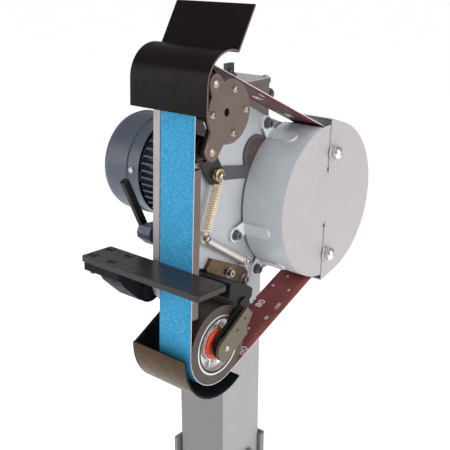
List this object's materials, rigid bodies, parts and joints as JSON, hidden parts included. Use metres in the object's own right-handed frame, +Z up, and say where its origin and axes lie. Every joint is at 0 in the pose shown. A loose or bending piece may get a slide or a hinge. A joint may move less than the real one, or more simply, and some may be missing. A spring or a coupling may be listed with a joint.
{
  "type": "stationary belt grinder",
  "caption": "Stationary narrow-belt grinder on a square column, with motor, drive wheel guard, contact wheel, tension rocker, platen, work table and spark guards.",
  "frame": {"origin": "on the floor at the centre of the base plate's four floor bolts, on the column axis", "axes": "+Z up, +X along the wheel axles away from the motor, -Y towards the operator"},
  "size_m": [0.462, 0.5439, 1.2694],
  "materials": {
    "column_grey": "satin",
    "motor_blue_grey": "satin",
    "silver_paint": "satin",
    "guard_light": "satin",
    "guard_grey": "satin",
    "black_satin": "satin",
    "dark_steel": "satin",
    "bright_steel": "polished",
    "aluminium": "machined",
    "cast": "rough",
    "bronze_brown": "satin",
    "yellow_zinc": "satin",
    "brass": "polished",
    "nickel": "polished",
    "rubber": "matte",
    "orange_seal": "satin",
    "blue_grit": "matte",
    "black_plastic": "matte"
  },
  "bodies": {
    "stand": {"base_plate": "column_grey", "pedestal_channel": "column_grey", "column_tube": "column_grey", "column_bolts": "bright_steel", "motor_foot_bolts": "bright_steel", "stator_housing": "motor_blue_grey", "drive_end_shield": "motor_blue_grey", "rear_end_shield": "motor_blue_grey", "motor_bearings": "bright_steel", "fan_cowl": "motor_blue_grey", "motor_cover_screws": "bright_steel", "terminal_box": "guard_grey", "terminal_box_lid": "silver_paint", "cable_gland": "black_plastic", "switch_base": "black_plastic"},
    "rotor": {"motor_shaft": "bright_steel", "cooling_fan": "black_plastic", "drive_wheel": "aluminium", "drive_wheel_tyre": "rubber", "drive_wheel_bolt": "bright_steel"},
    "grinding_head": {"frame_plate": "silver_paint", "swing_hub": "cast", "guard_front": "guard_grey", "guard_studs": "brass", "main_arm": "silver_paint", "platen": "dark_steel", "spark_guard_upper": "black_satin", "spark_guard_lower": "black_satin", "carrier_plate": "yellow_zinc", "carrier_block": "dark_steel", "contact_arm_outer": "yellow_zinc", "contact_axle": "bright_steel", "spring_anchor_rod": "bright_steel", "rocker_pivot_pin": "dark_steel", "clamp_block": "motor_blue_grey", "hex_screws": "bright_steel", "socket_screws": "bright_steel", "sanding_belt": "blue_grit", "tension_spring": "yellow_zinc"},
    "rear_cover": {"guard_rear_cover": "guard_light"},
    "nut_upper": {"thumb_nut_upper": "nickel"},
    "nut_lower": {"thumb_nut_lower": "nickel"},
    "rocker": {"rocker_plate": "bronze_brown", "rocker_hub": "dark_steel", "rocker_screws": "bright_steel", "roller_axles": "brass"},
    "top_roller": {"top_roller": "bright_steel"},
    "idler": {"idler_roller": "bright_steel"},
    "ring": {"tension_ring": "dark_steel", "tension_bush": "brass", "tension_bolt": "bright_steel"},
    "contact_wheel": {"contact_wheel_hub": "aluminium", "contact_wheel_tyre": "rubber", "contact_bearings": "bright_steel", "bearing_seal": "orange_seal"},
    "table": {"table_plate": "black_satin", "table_bracket": "dark_steel", "table_screws": "dark_steel"},
    "lever": {"clamp_lever": "black_satin"},
    "switch": {"switch_knob": "black_plastic"}
  },
  "joints": [
    {"name": "head_swing", "type": "hinge", "parent": "stand", "child": "grinding_head", "pos_m": [0.16, 0, 1], "axis": [1, 0, 0], "range_deg": [-85, 3]},
    {"name": "drive_spin", "type": "hinge", "parent": "stand", "child": "rotor", "pos_m": [0, 0, 1], "axis": [1, 0, 0], "continuous": true},
    {"name": "contact_wheel_spin", "type": "hinge", "parent": "grinding_head", "child": "contact_wheel", "pos_m": [0.16, -0.22339, 0.8732], "axis": [1, 0, 0], "continuous": true},
    {"name": "rocker_tilt", "type": "hinge", "parent": "grinding_head", "child": "rocker", "pos_m": [0.16, -0.22155, 1.15743], "axis": [1, 0, 0], "range_deg": [-4, 0], "stiffness_Nm_per_rad": 25, "springref_deg": 14.32, "deforming": ["sanding_belt", "tension_spring"]},
    {"name": "ring_swing", "type": "hinge", "parent": "grinding_head", "child": "ring", "pos_m": [0.16, 0, 1], "axis": [1, 0, 0], "range_deg": [0, 2]},
    {"name": "top_roller_spin", "type": "hinge", "parent": "rocker", "child": "top_roller", "pos_m": [0.16, -0.2389, 1.1904], "axis": [1, 0, 0], "continuous": true},
    {"name": "idler_spin", "type": "hinge", "parent": "rocker", "child": "idler", "pos_m": [0.16, -0.24537, 1.11772], "axis": [1, 0, 0], "continuous": true},
    {"name": "table_tilt", "type": "hinge", "parent": "grinding_head", "child": "table", "pos_m": [0.16, -0.26485, 0.94655], "axis": [1, 0, 0], "range_deg": [0, 45]},
    {"name": "lever_turn", "type": "hinge", "parent": "grinding_head", "child": "lever", "pos_m": [0.16, -0.24805, 1.00482], "axis": [1, 0, 0], "range_deg": [-60, 55]},
    {"name": "cover_slide", "type": "slide", "parent": "grinding_head", "child": "rear_cover", "axis": [0, 0.9989, -0.0476], "range_m": [0, 0.05]},
    {"name": "nut_upper_turn", "type": "hinge", "parent": "grinding_head", "child": "nut_upper", "pos_m": [0.16, 0.00624, 1.06778], "axis": [1, 0, 0], "continuous": true},
    {"name": "nut_lower_turn", "type": "hinge", "parent": "grinding_head", "child": "nut_lower", "pos_m": [0.16, -0.00053, 0.92594], "axis": [1, 0, 0], "continuous": true},
    {"name": "switch_turn", "type": "hinge", "parent": "stand", "child": "switch", "pos_m": [0.018, 0, 1.154], "axis": [0, 0, 1], "range_deg": [0, 60]}
  ],
  "couplings": [
    {"joint": "contact_wheel_spin", "follows": "drive_spin", "ratio": 1.8016},
    {"joint": "top_roller_spin", "follows": "drive_spin", "ratio": 4.5859},
    {"joint": "idler_spin", "follows": "drive_spin", "ratio": 5.4048},
    {"joint": "ring_swing", "follows": "rocker_tilt", "ratio": -0.487}
  ]
}
